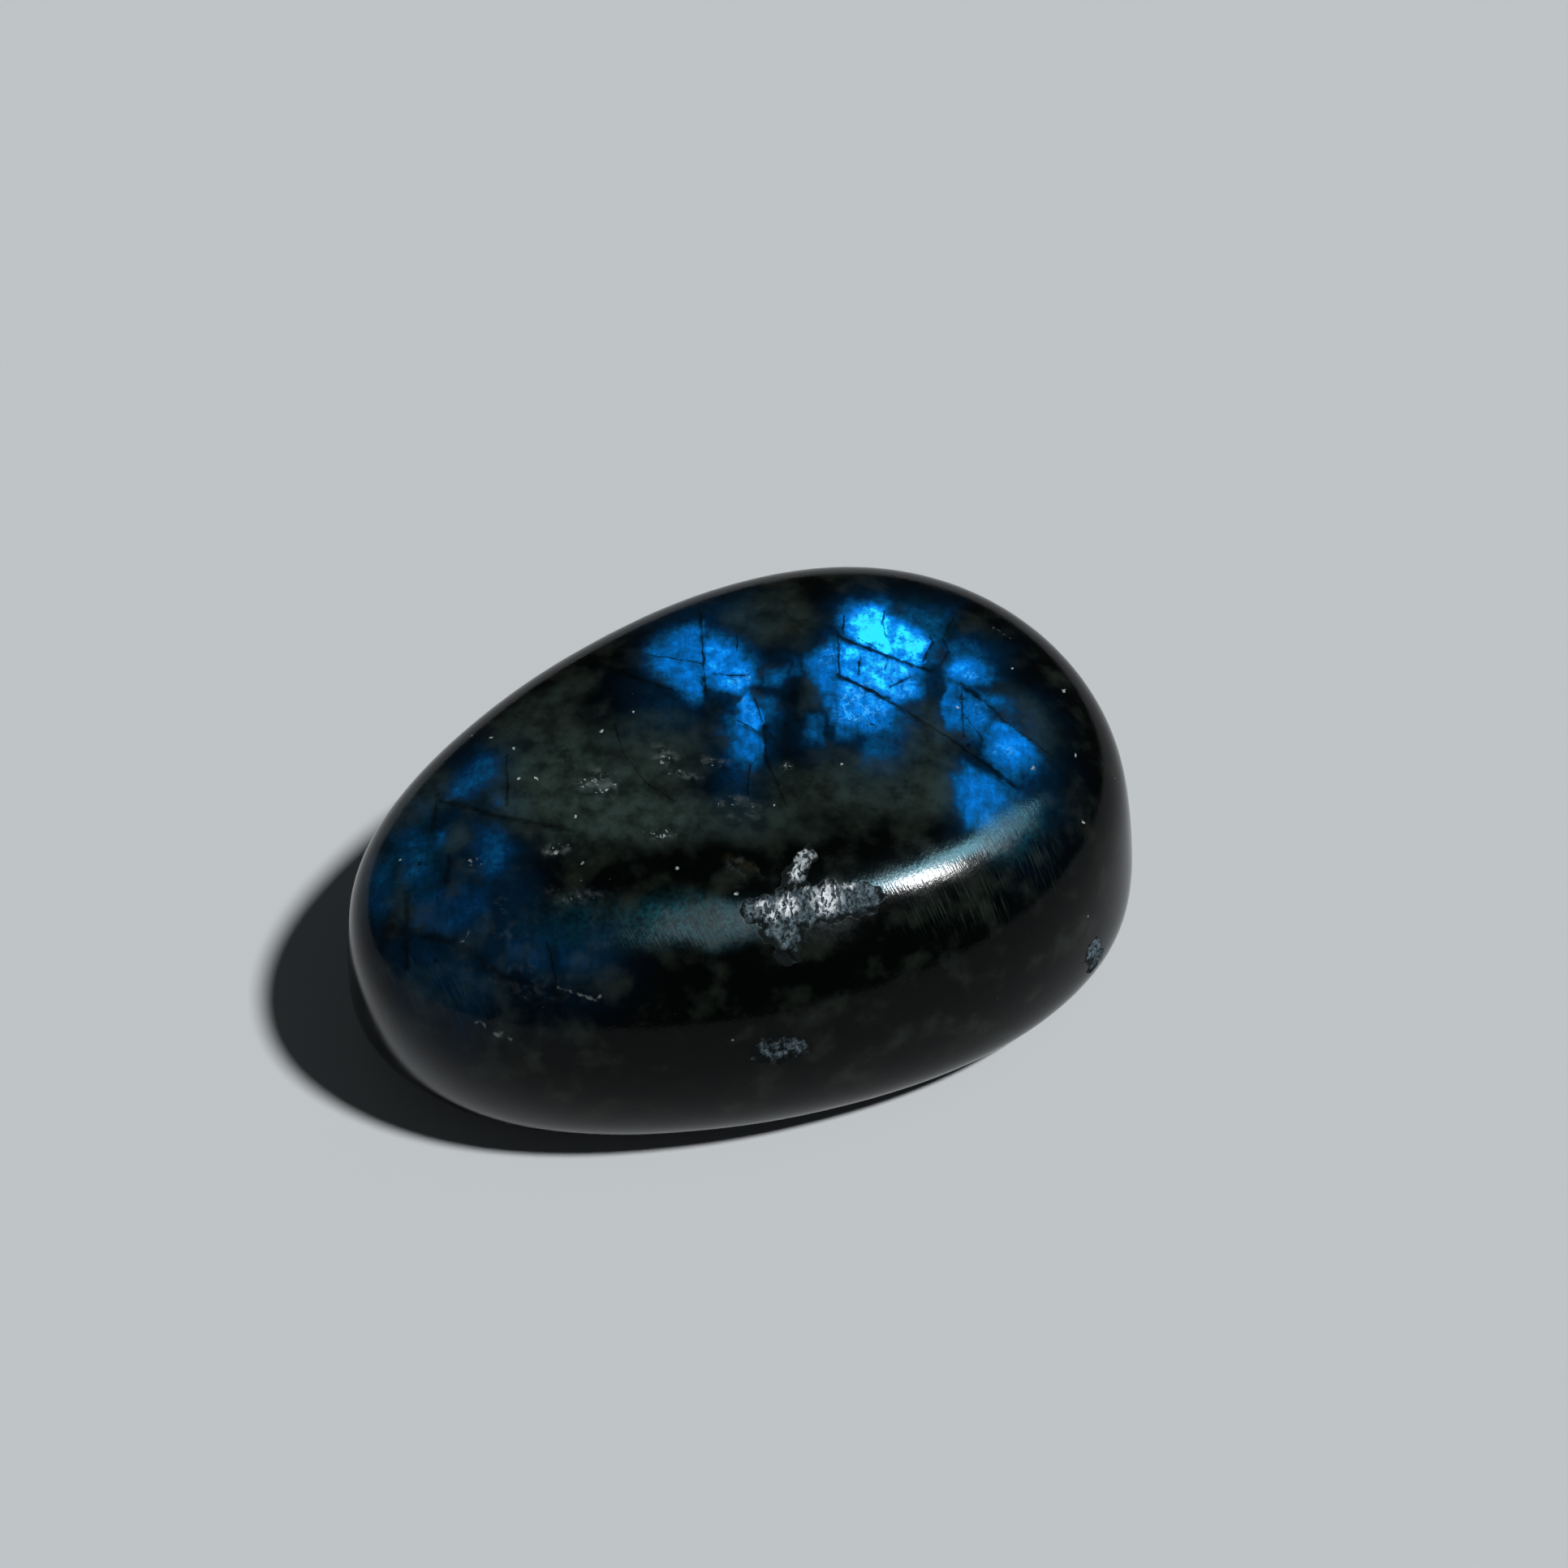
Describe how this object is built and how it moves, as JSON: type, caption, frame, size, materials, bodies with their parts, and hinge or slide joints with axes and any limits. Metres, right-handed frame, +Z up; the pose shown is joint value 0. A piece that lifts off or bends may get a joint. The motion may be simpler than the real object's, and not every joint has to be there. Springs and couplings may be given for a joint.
{
  "type": "tumbled labradorite",
  "caption": "Polished labradorite pebble, egg-shaped in plan and flattish, dark with blue flashes, with a rough break-out on one shoulder. Lies on its flattest side.",
  "frame": {"origin": "on the resting face, below the middle of the pebble", "axes": "+X along the pebble towards its broad end, +Z up from the surface it lies on"},
  "size_m": [0.0476, 0.0306, 0.0188],
  "materials": {
    "labradorite": "polished dark stone with blue flashes, rough in its pits"
  },
  "bodies": {
    "root": {"stone": "labradorite"}
  },
  "joints": []
}
